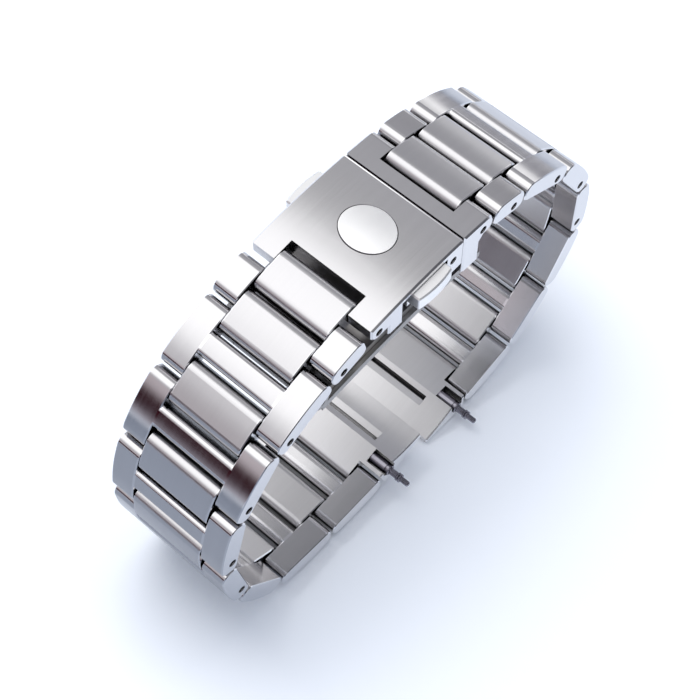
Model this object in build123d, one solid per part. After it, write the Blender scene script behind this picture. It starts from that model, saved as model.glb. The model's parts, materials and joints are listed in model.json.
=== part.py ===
from build123d import *
import math
import os

# Link watch bracelet, closed in its loop with the folding clasp on top. Millimetres, +Z up,
# X along the oval's long axis, Y along the pins, origin at the middle of the footprint.

# Band
BAND_WIDTH = 20.0  # across the outer faces of the links
PLATE_WIDTH = 12.0  # centre plate
SIDE_GAP = 0.15  # between a plate's side and the arm beside it
BAND_THICK = 3.2  # plate and arm, inner face to crown
PIN_RISE = 1.1  # pin axis above the inner face
PLATE_SPAN = 4.4  # between the two pins of a centre plate
PLATE_NOSE = 1.0  # plate beyond its pin
LINK_SPAN = 6.3  # between the two pins of an outer link
SHORT_SPAN = 2.2  # the same on the short link beside the clasp
ARM_GAP = 0.36  # between the ends of neighbouring arms
BRIDGE_GAP = 0.45  # between a plate's end and the crossbar of an outer link
CROWN_RADIUS = 26.0  # outer face, along the band
ROLL_RADIUS = 1.4  # where the outer face rolls over into the ends
BRIDGE_ROLL = 0.8  # the same on the narrow crossbar
EDGE = 0.12  # small bevel along the side edges

# Pins
PIN_DIAMETER = 1.1
PIN_RUN = 0.05  # radial clearance in what turns on a pin
PIN_SEAT = 0.02  # radial clearance in what holds a pin
LEFT_PIN_RECESS = 1.7  # end of a removable pin below the side face, left of the clasp
RIGHT_PIN_RECESS = 0.45  # the same on the right side of the band
PIN_END_GAP = 0.25  # end of a hidden pin to the bottom of its hole
BLIND_WALL = 1.2  # metal outside a hidden pin
SINK_DIAMETER = 1.25  # mouth of a pin hole
SINK_DEPTH = 0.12

# How far the band turns at each pin, in degrees, from the clasp to the watch end
LEFT_TURNS = (11, 3, 7, 4, 9, 14, 14, 12, 13, 13, 13, 15, 23, 23, 4, 3, 17)
RIGHT_TURNS = (15, 0, 2, 11, 14, 17, 16, 14, 12, 19, 7, 9, 16, 13, 15)
LEFT_REMOVABLE = 5  # outer links with pins that come out, counted from the clasp
RIGHT_REMOVABLE = 4
CLASP_TILT = 1.7  # degrees, the right end up, so that both halves touch the table

# End links and spring bars
END_REACH = 11.0  # pin to tip
END_CURVE = 5.3  # pin to where the inner face starts to curve towards the tip
TIP_THICK = 1.0
TIP_CROWN_DROP = 0.15  # outer face at the tip, below its highest line
MID_CROWN_SHARE = 0.25  # of that drop, where the inner face starts to curve
CASE_HOLLOW = 0.25  # how far the curved inner face is hollowed
CHANNEL_WIDTH = 11.4  # hollow between the two rims of the inner face
CHANNEL_DEPTH = 0.45
SLOT_START = 6.1  # slot across the inner face, from the pin
SLOT_WIDTH = 0.55
SLOT_DEPTH = 2.2
BAR_REACH = 4.1  # pin to the spring bar
BAR_SINK = 0.3  # spring bar further from the inner face than the pin
BAR_POCKET_LENGTH = 2.3  # pocket in the side where the bar shows
BAR_POCKET_DEPTH = 3.2
BAR_DIAMETER = 1.7
BAR_BORE = 1.2
BAR_RUN = 0.08  # radial clearance of the spring bar in the end link
BAR_LENGTH = 17.2  # tube, end to end
BAR_OFFSET = 1.6  # the loose bars have slid this far towards the near side
TIP_SHAFT_DIAMETER = 1.06
TIP_SHAFT_IN = 4.0  # length of the tip's shaft inside the tube
TIP_TRAVEL = 1.2
COLLAR_DIAMETER = 1.36
COLLAR_LENGTH = 0.8
COLLAR_EDGE = 0.15
TIP_DIAMETER = 0.84
TIP_LENGTH = 1.4
BAR_SPRING_DIAMETER = 1.0
BAR_SPRING_WIRE = 0.2

# Clasp, with its heights below the crown of the cover
CLASP_SPAN = 20.0  # between the band pins at the two ends
CLASP_CROWN = 95.0  # radius of the outer face
CLASP_PIN_DROP = 2.3  # band pins below the crown
SEAM = 6.2  # seam in the cover, from the middle towards the right end
SEAM_GAP = 0.16
COVER_NOTCH = 1.9  # band pin to the wall of the notch in the cover
BLOCK_NOTCH = 1.45  # the same in the end block
PRONG_REACH = 1.4  # prongs of the cover beyond the band pin
COVER_TOP = 1.3  # thickness of the cover's top
COVER_WALL = 1.6
COVER_DEPTH = 5.5  # side walls, down from the crown
PRONG_BEHIND = 2.2  # solid behind the notch wall, along X
COVER_EDGE = 0.25
SEAM_EDGE = 0.35  # shallow bevel of the cover along the seam
SEAM_DROP = 0.12
CLASP_PIN_RECESS = 1.1  # end of a pin of the clasp below the side face
HINGE_INSET = 2.0  # cover hinge from the seam
HINGE_DROP = 2.6
HINGE_BARREL = 1.15  # radius of a barrel
HINGE_PIN_DIAMETER = 1.0
BLADE_THICK = 1.1
BLADE_GAP = 0.15
BLADE_INSET = 0.6  # base blade's edge inside the band's side face
MIDDLE_INSET = 1.2  # the same for the middle blade
BLADE_CROWN = 130.0
BLADE_BOW = 4.0  # more than a blade drops from its middle to its ends
FOLD_PIN_RECESS = 0.25  # end of the fold pin inside the base blade's edge
FOLD_REACH = 19.8  # middle of the clasp to the fold hinge, towards the left
FOLD_DROP = 7.7
BARREL_WIDTH = 9.0  # middle barrel at both hinges
BARREL_GAP = 0.15
BLOCK_BEHIND = 0.9  # the end block's deep part goes this far past the wall of its notch
BLOCK_SLANT = 0.8
WINDOW_LENGTH = 7.2  # window in the middle blade round the catch
WINDOW_WIDTH = 8.0

# Push buttons and catch
BUTTON_MIDDLE = -0.7  # from the middle of the clasp
BUTTON_LENGTH = 6.4
BUTTON_HEIGHT = 2.4
BUTTON_DROP = 1.1  # top of the button below the crown
BUTTON_PROUD = 1.5
BUTTON_BOW = 0.35  # middle of the outer face beyond its ends
BUTTON_BACK = 0.2  # back of the button outside the inner face of the cover's wall
BUTTON_CORNER = 0.3  # outer corners, seen from above
BUTTON_EDGE = 0.2
BUTTON_TRAVEL = 0.9
BUTTON_GAP = 0.2  # above the button in its opening
RECESS_LENGTH = 8.6  # opening in the cover's wall
RECESS_SHIFT = 0.7  # the opening runs further towards the left
HOOK_WIDTH = 1.2
HOOK_THICK = 0.8
HOOK_GRIP = 0.7  # under the head of the catch
HOOK_GAP = 0.3
CATCH_LENGTH = 2.0
CATCH_STEM = 2.4  # across the band
CATCH_HEAD = 4.2
CATCH_HEAD_THICK = 0.7
CATCH_HEAD_DROP = 4.4  # top of the head below the crown
BUTTON_SPRING_DIAMETER = 1.2
BUTTON_SPRING_WIRE = 0.25
BUTTON_SPRING_LENGTH = 1.9
BUTTON_SPRING_GAP = 0.2  # to the cover above it, and to the pressed button
GUIDE_THICK = 1.0
GUIDE_LENGTH = 7.4

# Plaque, a bare polished oval
PLAQUE_LENGTH = 6.8
PLAQUE_WIDTH = 8.0
PLAQUE_MIDDLE = -0.8
PLAQUE_PROUD = 0.35
PLAQUE_DOME = 26.0  # radius of its upper face
PLAQUE_DEPTH = 0.5
PLAQUE_GAP = 0.1
PLAQUE_EDGE = 0.1

OVERRUN = 1.0  # how far a cutting tool runs past what it cuts

ARM_INNER = PLATE_WIDTH / 2 + SIDE_GAP
HALF_WIDTH = BAND_WIDTH / 2
OVERHANG = (PLATE_SPAN - ARM_GAP) / 2  # arm beyond its pin
BRIDGE_LENGTH = LINK_SPAN - 2 * (PLATE_NOSE + BRIDGE_GAP)
PIN_RADIUS = PIN_DIAMETER / 2
LINK_CROWN = BAND_THICK - PIN_RISE  # outer face above the pins


# Basic shapes

def across(outline, low, high):
    """An outline drawn in X and Z, made solid from Y = low to Y = high."""
    start = Plane(origin=(0, high, 0), x_dir=(1, 0, 0), z_dir=(0, -1, 0))
    return extrude(start * outline, high - low)


def rod(x, z, radius, low, high):
    """A round rod along Y."""
    return across(Pos(x, z) * Circle(radius), low, high)


def tube(x, z, outer, bore, low, high):
    return rod(x, z, outer, low, high) - rod(x, z, bore, low, high)


def block(x0, x1, y0, y1, z0, z1):
    middle = ((x0 + x1) / 2, (y0 + y1) / 2, (z0 + z1) / 2)
    return Pos(*middle) * Box(x1 - x0, y1 - y0, z1 - z0)


def crowned(start, end, crown_at, radius, foot, top=0.0):
    """An outline from X = start to X = end, flat at Z = foot, its top an arc with its
    highest point Z = top at X = crown_at."""
    def height(x):
        return top - radius + math.sqrt(radius**2 - (x - crown_at) ** 2)

    middle = (start + end) / 2
    with BuildSketch() as sketch:
        with BuildLine():
            Line((start, height(start)), (start, foot))
            Line((start, foot), (end, foot))
            Line((end, foot), (end, height(end)))
            ThreePointArc((end, height(end)), (middle, height(middle)), (start, height(start)))
        make_face()
    return sketch.sketch


def end_corners(outline, above):
    """The corners of an outline that lie above or below its middle."""
    ranked = outline.vertices().sort_by(Axis.Y)
    return ranked[-2:] if above else ranked[:2]


def link_outline(length, roll):
    """Side view of a plate, an arm or a crossbar, with its pins' height at Z = 0."""
    outline = crowned(-length / 2, length / 2, 0, CROWN_RADIUS, -PIN_RISE, LINK_CROWN)
    outline = fillet(end_corners(outline, True), roll)
    nose = min(PIN_RISE, length / 2 - EDGE)
    return fillet(end_corners(outline, False), nose)


def beveled(solid, face_y, size):
    """Bevels the rim of each flat side that lies at Y = face_y."""
    rims = [f for f in solid.faces() if abs(f.center().Y - face_y) < size / 2]
    edges = [e for f in rims for e in f.outer_wire().edges()]
    return chamfer(edges, size)


def sunk_hole(x, side, depth):
    """A pin hole from the outer side face inwards, with a sunk mouth."""
    out = side * (HALF_WIDTH + OVERRUN)
    inner = side * (HALF_WIDTH - depth)
    hole = rod(x, 0, PIN_RADIUS + PIN_SEAT, min(out, inner), max(out, inner))
    mouth = side * (HALF_WIDTH - SINK_DEPTH)
    return hole + rod(x, 0, SINK_DIAMETER / 2, min(out, mouth), max(out, mouth))


# Band pieces, each drawn straight with the way to the watch end along +X and the pins at Z = 0

def plate():
    length = PLATE_SPAN + 2 * PLATE_NOSE
    half = PLATE_WIDTH / 2
    body = across(link_outline(length, ROLL_RADIUS), -half, half)
    for side in (-half, half):
        body = beveled(body, side, EDGE)
    for x in (-PLATE_SPAN / 2, PLATE_SPAN / 2):
        body -= rod(x, 0, PIN_RADIUS + PIN_RUN, -half - OVERRUN, half + OVERRUN)
    return body


def arm(span, side):
    length = span + 2 * OVERHANG
    low, high = sorted((side * ARM_INNER, side * HALF_WIDTH))
    body = across(link_outline(length, ROLL_RADIUS), low, high)
    for face in (low, high):
        body = beveled(body, face, EDGE)
    return body


def pin_holes(span):
    """The hidden pin's blind holes nearest the clasp, the removable pin's at the other end."""
    cuts = []
    for side in (-1, 1):
        low, high = sorted((side * (ARM_INNER - OVERRUN), side * (HALF_WIDTH - BLIND_WALL)))
        cuts.append(rod(-span / 2, 0, PIN_RADIUS + PIN_SEAT, low, high))
        cuts.append(sunk_hole(span / 2, side, HALF_WIDTH - ARM_INNER + OVERRUN))
    return cuts


def bridge():
    outline = link_outline(BRIDGE_LENGTH, BRIDGE_ROLL)
    reach = ARM_INNER + OVERRUN
    return across(outline, -reach, reach)


def short_link():
    """Two half links side by side, with no crossbar."""
    arms = [arm(SHORT_SPAN, side) for side in (-1, 1)]
    cuts = pin_holes(SHORT_SPAN)
    return Compound([a - cuts for a in arms])


def outer_link(removable):
    """Two arms joined by a crossbar. On a fixed link the pins are part of it."""
    body = arm(LINK_SPAN, -1) + arm(LINK_SPAN, 1) + bridge()
    if removable:
        return body - pin_holes(LINK_SPAN)
    reach = HALF_WIDTH - BLIND_WALL
    return body + [rod(x, 0, PIN_RADIUS, -reach, reach) for x in (-LINK_SPAN / 2, LINK_SPAN / 2)]


def pin_pair(span, recess):
    """The hidden pin, which stops short of the side faces, and the removable pin."""
    hidden = HALF_WIDTH - BLIND_WALL - PIN_END_GAP
    shown = HALF_WIDTH - recess
    return Compound([
        rod(-span / 2, 0, PIN_RADIUS, -hidden, hidden),
        rod(span / 2, 0, PIN_RADIUS, -shown, shown),
    ])


def end_outline():
    """Side view of an end link: tongue round the pin, flat inner face, hollow curve to the tip."""
    start = -PLATE_NOSE
    top_z = LINK_CROWN - TIP_CROWN_DROP * MID_CROWN_SHARE
    tip_top = LINK_CROWN - TIP_CROWN_DROP
    tip_foot = tip_top - TIP_THICK
    middle_x = (END_CURVE + END_REACH) / 2
    middle_z = (tip_foot - PIN_RISE) / 2 + CASE_HOLLOW
    with BuildSketch() as side_view:
        with BuildLine():
            Line((start, LINK_CROWN), (start, -PIN_RISE))
            Line((start, -PIN_RISE), (END_CURVE, -PIN_RISE))
            ThreePointArc((END_CURVE, -PIN_RISE), (middle_x, middle_z), (END_REACH, tip_foot))
            Line((END_REACH, tip_foot), (END_REACH, tip_top))
            ThreePointArc((END_REACH, tip_top), (END_CURVE, top_z), (start, LINK_CROWN))
        make_face()
    outline = side_view.sketch
    nose = outline.vertices().group_by(Axis.X)[0].sort_by(Axis.Y)
    outline = fillet(nose[-1], ROLL_RADIUS)
    heel = outline.vertices().sort_by_distance((start, -PIN_RISE))[0]
    return fillet(heel, PIN_RISE)


def end_link():
    """Tongue on the last pin, then the full width, bored for the spring bar."""
    outline = end_outline()
    half = PLATE_WIDTH / 2
    start = OVERHANG + ARM_GAP
    deep = BAND_THICK + OVERRUN
    full = across(outline, -HALF_WIDTH, HALF_WIDTH)
    full &= block(start, END_REACH, -HALF_WIDTH, HALF_WIDTH, -deep, deep)
    for side in (-HALF_WIDTH, HALF_WIDTH):
        full = beveled(full, side, EDGE)
    body = across(outline, -half, half) + full
    half_channel = CHANNEL_WIDTH / 2
    zone = block(SLOT_START, END_REACH + OVERRUN, -half_channel, half_channel, -deep, 0)
    sunk = Pos(0, 0, CHANNEL_DEPTH) * across(outline, -HALF_WIDTH, HALF_WIDTH)
    body -= zone - sunk
    body -= block(SLOT_START, SLOT_START + SLOT_WIDTH, -half_channel, half_channel,
                  -deep, -PIN_RISE + SLOT_DEPTH)
    pocket = (BAR_REACH - BAR_POCKET_LENGTH / 2, BAR_REACH + BAR_POCKET_LENGTH / 2)
    for side in (-1, 1):
        inner = side * (HALF_WIDTH - BAR_POCKET_DEPTH)
        outer = side * (HALF_WIDTH + OVERRUN)
        body -= block(*pocket, min(inner, outer), max(inner, outer), -deep, BAR_SINK)
    reach = HALF_WIDTH + OVERRUN
    body -= rod(0, 0, PIN_RADIUS + PIN_RUN, -reach, reach)
    return body - rod(BAR_REACH, BAR_SINK, BAR_DIAMETER / 2 + BAR_RUN, -reach, reach)


# Spring bar, drawn along Y about its own middle

def bar_tube():
    half = BAR_LENGTH / 2
    return tube(0, 0, BAR_DIAMETER / 2, BAR_BORE / 2, -half, half)


def bar_tip(side):
    """Shaft in the tube, collar and point."""
    end = BAR_LENGTH / 2
    steps = (
        (end - TIP_SHAFT_IN, end + TIP_TRAVEL, TIP_SHAFT_DIAMETER),
        (end + TIP_TRAVEL, end + TIP_TRAVEL + COLLAR_LENGTH, COLLAR_DIAMETER),
        (end + TIP_TRAVEL + COLLAR_LENGTH,
         end + TIP_TRAVEL + COLLAR_LENGTH + TIP_LENGTH, TIP_DIAMETER),
    )
    body = None
    for low, high, diameter in steps:
        a, b = sorted((side * low, side * high))
        step = rod(0, 0, diameter / 2, a, b)
        if diameter != TIP_SHAFT_DIAMETER:
            step = chamfer(step.edges().filter_by(GeomType.CIRCLE), COLLAR_EDGE)
        body = step if body is None else body + step
    return body


def bar_spring():
    """The coil's envelope at its shortest, between the two shafts."""
    half = BAR_LENGTH / 2 - TIP_SHAFT_IN - TIP_TRAVEL - PIN_RUN
    outer = BAR_SPRING_DIAMETER / 2
    return tube(0, 0, outer, outer - BAR_SPRING_WIRE, -half, half)


# Clasp, drawn with the crown of the cover at Z = 0 and its middle at X = 0

LEFT_PIN = -CLASP_SPAN / 2
RIGHT_PIN = CLASP_SPAN / 2
COVER_END = SEAM - SEAM_GAP / 2
HINGE_X = COVER_END - HINGE_INSET
COVER_IN = HALF_WIDTH - COVER_WALL
BUTTON_INNER = COVER_IN + BUTTON_BACK
SPRING_END = BUTTON_INNER - BUTTON_TRAVEL - BUTTON_SPRING_GAP
SPRING_START = SPRING_END - BUTTON_SPRING_LENGTH
SPRING_Z = -COVER_TOP - BUTTON_SPRING_GAP - BUTTON_SPRING_DIAMETER / 2


def prongs(pin_x, reach, way):
    """What is cut between the two prongs that hold the band: way is +1 on the right."""
    wall = pin_x - way * reach
    out = pin_x + way * (OVERHANG + OVERRUN)
    foot = -CLASP_PIN_DROP - BAND_THICK
    return block(*sorted((wall, out)), -ARM_INNER, ARM_INNER, foot, OVERRUN)


def prong_roll(outline, x):
    """Rolls the outer and inner corner of an outline's end over, as on the links."""
    ends = [v for v in outline.vertices() if abs(v.X - x) < EDGE]
    return fillet(max(ends, key=lambda v: v.Y), ROLL_RADIUS)


def cover():
    left = LEFT_PIN - PRONG_REACH
    foot = -CLASP_PIN_DROP - PIN_RISE
    wall = LEFT_PIN + COVER_NOTCH
    thin = crowned(left, wall + PRONG_BEHIND, 0, CLASP_CROWN, foot)
    low = [v for v in thin.vertices() if abs(v.X - left) < EDGE and v.Y < foot + EDGE]
    thin = fillet(low, PIN_RISE)
    deep = crowned(wall, COVER_END, 0, CLASP_CROWN, -COVER_DEPTH)
    seam_corner = deep.vertices().sort_by_distance((COVER_END, 0))[0]
    seam_wall = deep.edges().sort_by_distance((COVER_END, -COVER_DEPTH / 2))[0]
    deep = chamfer(seam_corner, SEAM_DROP, SEAM_EDGE, reference=seam_wall)
    body = across(thin, -HALF_WIDTH, HALF_WIDTH) + across(deep, -HALF_WIDTH, HALF_WIDTH)
    body = beveled(body, -HALF_WIDTH, COVER_EDGE)
    body = beveled(body, HALF_WIDTH, COVER_EDGE)
    body -= prongs(LEFT_PIN, COVER_NOTCH, -1)
    body -= block(wall + PRONG_BEHIND, COVER_END + OVERRUN, -COVER_IN, COVER_IN,
                  -COVER_DEPTH - OVERRUN, -COVER_TOP)
    middle = BUTTON_MIDDLE - RECESS_SHIFT
    start, end = middle - RECESS_LENGTH / 2, middle + RECESS_LENGTH / 2
    ceiling = -BUTTON_DROP + BUTTON_GAP
    for side in (-1, 1):
        inner = side * (COVER_IN - OVERRUN)
        outer = side * (HALF_WIDTH + OVERRUN)
        body -= block(start, end, min(inner, outer), max(inner, outer),
                      -COVER_DEPTH - OVERRUN, ceiling)
    body += guide_ribs()
    body -= plaque_seat()
    for side in (-1, 1):
        body -= Pos(LEFT_PIN, 0, -CLASP_PIN_DROP) * sunk_hole(0, side, HALF_WIDTH)
        hinge = Pos(HINGE_X, 0, -HINGE_DROP) * sunk_hole(0, side, COVER_WALL + OVERRUN)
        body -= hinge
    return body


def guide_ribs():
    """Ribs under the cover's top, which carry the button springs."""
    start = BUTTON_MIDDLE - GUIDE_LENGTH / 2
    end = BUTTON_MIDDLE + GUIDE_LENGTH / 2
    foot = SPRING_Z - BUTTON_SPRING_DIAMETER / 2
    rib = block(start, end, SPRING_START - GUIDE_THICK, SPRING_START, foot, -COVER_TOP)
    return [rib, mirror(rib, Plane.XZ)]


def plaque_shape(grow, low, high):
    start = Plane(origin=(PLAQUE_MIDDLE, 0, low))
    return extrude(start * Ellipse(PLAQUE_LENGTH / 2 + grow, PLAQUE_WIDTH / 2 + grow), high - low)


def plaque_seat():
    return plaque_shape(PLAQUE_GAP, -PLAQUE_DEPTH, OVERRUN)


def plaque():
    body = plaque_shape(0, -PLAQUE_DEPTH, PLAQUE_PROUD)
    body &= Pos(PLAQUE_MIDDLE, 0, PLAQUE_PROUD - PLAQUE_DOME) * Sphere(PLAQUE_DOME)
    rim = body.faces().sort_by(Axis.Z)[-1].edges()
    return fillet(rim, PLAQUE_EDGE)


def button_head(foot, top):
    """The head's outer face is bowed along the band."""
    start = BUTTON_MIDDLE - BUTTON_LENGTH / 2
    end = BUTTON_MIDDLE + BUTTON_LENGTH / 2
    out = HALF_WIDTH + BUTTON_PROUD
    side = out - BUTTON_BOW
    with BuildSketch() as seen_from_above:
        with BuildLine():
            Line((start, side), (start, BUTTON_INNER))
            Line((start, BUTTON_INNER), (end, BUTTON_INNER))
            Line((end, BUTTON_INNER), (end, side))
            ThreePointArc((end, side), (BUTTON_MIDDLE, out), (start, side))
        make_face()
    outline = seen_from_above.sketch
    outline = fillet(end_corners(outline, True), BUTTON_CORNER)
    head = extrude(Pos(0, 0, foot) * outline, top - foot)
    shown = head.edges().filter_by_position(Axis.Y, BUTTON_INNER + EDGE, out)
    rims = [e for e in shown if abs(e.center().Z - foot) < EDGE or abs(e.center().Z - top) < EDGE]
    return chamfer(rims, BUTTON_EDGE)


def button(side):
    """Push button with the hook that reaches past the catch and holds its far side."""
    top, foot = -BUTTON_DROP, -BUTTON_DROP - BUTTON_HEIGHT
    head = button_head(foot, top)
    level = -CATCH_HEAD_DROP - CATCH_HEAD_THICK - HOOK_GAP / 2
    arm_start = BUTTON_MIDDLE + CATCH_LENGTH / 2 + HOOK_GAP
    grip = -(CATCH_HEAD / 2 - HOOK_GRIP)
    stem = block(arm_start, arm_start + HOOK_WIDTH, grip - HOOK_WIDTH, BUTTON_INNER,
                 level - HOOK_THICK, level)
    hook = block(BUTTON_MIDDLE - CATCH_LENGTH / 2 + HOOK_GAP, arm_start + HOOK_WIDTH,
                 grip - HOOK_WIDTH, grip, level - HOOK_THICK, level)
    heel = block(arm_start, arm_start + HOOK_WIDTH, BUTTON_INNER - HOOK_THICK,
                 BUTTON_INNER + EDGE, level - HOOK_THICK, foot + HOOK_THICK)
    body = head + stem + hook + heel
    turned = Pos(BUTTON_MIDDLE, 0, 0) * Rot(0, 0, 180) * Pos(-BUTTON_MIDDLE, 0, 0) * body
    return body if side > 0 else turned


def button_springs():
    """Both springs at their shortest, each in front of its rib."""
    outer = BUTTON_SPRING_DIAMETER / 2
    coil = tube(BUTTON_MIDDLE, SPRING_Z, outer, outer - BUTTON_SPRING_WIRE,
                SPRING_START, SPRING_END)
    return Compound([coil, mirror(coil, Plane.XZ)])


def bent_strip(start, end, top, width):
    """A blade, bent to the wrist, with its highest line at Z = top over the blades' middle."""
    radius = BLADE_CROWN - (MIDDLE_TOP - top)
    foot = top - BLADE_BOW
    outer = crowned(start, end, BLADE_MIDDLE, radius, foot, top)
    inner = crowned(start - OVERRUN, end + OVERRUN, BLADE_MIDDLE, radius - BLADE_THICK,
                    foot - OVERRUN, top - BLADE_THICK)
    return across(outer, -width / 2, width / 2) - across(inner, -width, width)


FOLD_X = -FOLD_REACH
FOLD_Z = -FOLD_DROP
MIDDLE_TOP = -FOLD_DROP + HINGE_BARREL + BLADE_GAP
BASE_TOP = MIDDLE_TOP - BLADE_THICK - BLADE_GAP
BLADE_MIDDLE = (FOLD_X + RIGHT_PIN) / 2
BLADE_WIDTH = BAND_WIDTH - 2 * BLADE_INSET
MIDDLE_WIDTH = BAND_WIDTH - 2 * MIDDLE_INSET


def base_blade():
    end = RIGHT_PIN + OVERHANG - ROLL_RADIUS
    body = bent_strip(FOLD_X, end, BASE_TOP, BLADE_WIDTH)
    barrel = rod(FOLD_X, FOLD_Z, HINGE_BARREL, -BLADE_WIDTH / 2, BLADE_WIDTH / 2)
    swing = HINGE_BARREL + BARREL_GAP
    half = BARREL_WIDTH / 2 + BARREL_GAP
    body = body + barrel
    body -= rod(FOLD_X, FOLD_Z, swing, -half, half)
    body -= block(FOLD_X - swing, FOLD_X + swing, -half, half, FOLD_Z - swing, FOLD_Z + swing)
    hole = HINGE_PIN_DIAMETER / 2 + PIN_SEAT
    return body - rod(FOLD_X, FOLD_Z, hole, -BLADE_WIDTH, BLADE_WIDTH)


def below_base_blade():
    """All that lies below the upper face of the base blade."""
    radius = BLADE_CROWN - (MIDDLE_TOP - BASE_TOP)
    end = RIGHT_PIN + OVERHANG + OVERRUN
    low = crowned(FOLD_X, end, BLADE_MIDDLE, radius, BASE_TOP - BLADE_BOW, BASE_TOP)
    return across(low, -BAND_WIDTH, BAND_WIDTH)


def end_block():
    """The short piece past the seam, which holds the band and stands on the base blade."""
    start = SEAM + SEAM_GAP / 2
    end = RIGHT_PIN + OVERHANG
    foot = -CLASP_PIN_DROP - PIN_RISE
    thin = crowned(start, end, 0, CLASP_CROWN, foot)
    thin = prong_roll(thin, end)
    low = [v for v in thin.vertices() if abs(v.X - end) < EDGE and v.Y < foot + EDGE]
    thin = fillet(low, PIN_RISE)
    deep_end = RIGHT_PIN - BLOCK_NOTCH + BLOCK_BEHIND
    deep = crowned(start, deep_end, 0, CLASP_CROWN, BASE_TOP - BLADE_BOW / 2)
    body = across(thin, -HALF_WIDTH, HALF_WIDTH) + across(deep, -HALF_WIDTH, HALF_WIDTH)
    body -= below_base_blade()
    inside = body.edges().filter_by(Axis.Y).filter_by_position(Axis.X, deep_end - EDGE, deep_end + EDGE)
    corner = inside.sort_by(Axis.Z)[-1]
    body = chamfer(corner, BLOCK_SLANT)
    body = beveled(body, -HALF_WIDTH, COVER_EDGE)
    body = beveled(body, HALF_WIDTH, COVER_EDGE)
    body -= prongs(RIGHT_PIN, BLOCK_NOTCH, 1)
    for side in (-1, 1):
        body -= Pos(RIGHT_PIN, 0, -CLASP_PIN_DROP) * sunk_hole(0, side, HALF_WIDTH)
    return body


def middle_blade():
    """Lies between the cover and the base blade, hinged to both."""
    start = HINGE_X - HINGE_BARREL
    end = start + BLADE_THICK
    body = bent_strip(FOLD_X, end, MIDDLE_TOP, MIDDLE_WIDTH)
    half = BARREL_WIDTH / 2
    rise = block(start, end, -half, half, MIDDLE_TOP - BLADE_THICK, -HINGE_DROP)
    body = body + rise + rod(HINGE_X, -HINGE_DROP, HINGE_BARREL, -half, half)
    swing = HINGE_BARREL + BARREL_GAP
    reach = MIDDLE_WIDTH / 2 + OVERRUN
    low = FOLD_Z - swing
    body -= block(FOLD_X - swing, FOLD_X + swing, -reach, reach, low, MIDDLE_TOP + OVERRUN)
    body += rod(FOLD_X, FOLD_Z, HINGE_BARREL, -half, half)
    body += block(FOLD_X, FOLD_X + swing + BARREL_GAP, -half, half, FOLD_Z, MIDDLE_TOP - BLADE_GAP)
    window = (BUTTON_MIDDLE - WINDOW_LENGTH / 2, BUTTON_MIDDLE + WINDOW_LENGTH / 2)
    body -= block(*window, -WINDOW_WIDTH / 2, WINDOW_WIDTH / 2, low, MIDDLE_TOP + OVERRUN)
    hole = HINGE_PIN_DIAMETER / 2 + PIN_RUN
    for x, z in ((FOLD_X, FOLD_Z), (HINGE_X, -HINGE_DROP)):
        body -= rod(x, z, hole, -MIDDLE_WIDTH, MIDDLE_WIDTH)
    return body


def catch():
    """Post on the base blade, with a head that the hooks hold."""
    x0, x1 = BUTTON_MIDDLE - CATCH_LENGTH / 2, BUTTON_MIDDLE + CATCH_LENGTH / 2
    top = -CATCH_HEAD_DROP
    stem = block(x0, x1, -CATCH_STEM / 2, CATCH_STEM / 2, BASE_TOP - BLADE_THICK, top)
    head = block(x0, x1, -CATCH_HEAD / 2, CATCH_HEAD / 2, top - CATCH_HEAD_THICK, top)
    return stem + head - below_base_blade()


def cover_pins():
    reach = HALF_WIDTH - CLASP_PIN_RECESS
    return Compound([
        rod(LEFT_PIN, -CLASP_PIN_DROP, PIN_RADIUS, -reach, reach),
        rod(HINGE_X, -HINGE_DROP, HINGE_PIN_DIAMETER / 2, -reach, reach),
    ])


def base_pins():
    reach = HALF_WIDTH - CLASP_PIN_RECESS
    fold = BLADE_WIDTH / 2 - FOLD_PIN_RECESS
    return Compound([
        rod(RIGHT_PIN, -CLASP_PIN_DROP, PIN_RADIUS, -reach, reach),
        rod(FOLD_X, FOLD_Z, HINGE_PIN_DIAMETER / 2, -fold, fold),
    ])


# Assembly

def chain(start, turns, side):
    """The frame at the first pin of each piece of one side of the band, and the piece's span;
    side is -1 on the left. The band turns down and inwards."""
    angle = (180 if side < 0 else 0) + CLASP_TILT
    x, z = start
    places = []
    for number, turn in enumerate(turns):
        angle -= side * turn
        along = Vector(math.cos(math.radians(angle)), 0, math.sin(math.radians(angle)))
        out = Vector(-side * along.Z, 0, side * along.X)
        span = PLATE_SPAN if number % 2 == 0 else (SHORT_SPAN if number == 1 else LINK_SPAN)
        frame = Plane(origin=(x, 0, z), x_dir=along, z_dir=out)
        places.append((frame, span))
        x, z = x + span * along.X, z + span * along.Z
    return places


def band_side(name, start, turns, side, removable, recess):
    """Adds the pieces of one side of the band to the parts, and its pins to the joints."""
    last = len(turns) - 1
    for number, (frame, span) in enumerate(chain(start, turns, side)):
        joints.append((name, number, frame.origin.X, frame.origin.Z, turns[number]))
        middle = frame * Pos(span / 2, 0, 0)
        index = number // 2 + 1
        if number == last:
            parts[f"{name}_end_link"] = frame * end_link()
            bar = frame * Pos(BAR_REACH, -side * BAR_OFFSET, BAR_SINK)
            near = -side
            parts[f"{name}_spring_bar_tube"] = bar * bar_tube()
            parts[f"{name}_spring_bar_near_tip"] = bar * bar_tip(near)
            parts[f"{name}_spring_bar_far_tip"] = bar * bar_tip(-near)
            parts[f"{name}_spring_bar_spring"] = bar * bar_spring()
        elif number % 2 == 0:
            parts[f"{name}_plate_{index}"] = middle * PLATE
        elif index == 1:
            parts[f"{name}_short_link"] = middle * SHORT_LINK
            parts[f"{name}_link_1_pins"] = middle * pin_pair(SHORT_SPAN, recess)
        else:
            free = index <= removable
            parts[f"{name}_link_{index}"] = middle * (FREE_LINK if free else FIXED_LINK)
            if free:
                parts[f"{name}_link_{index}_pins"] = middle * pin_pair(LINK_SPAN, recess)


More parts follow.
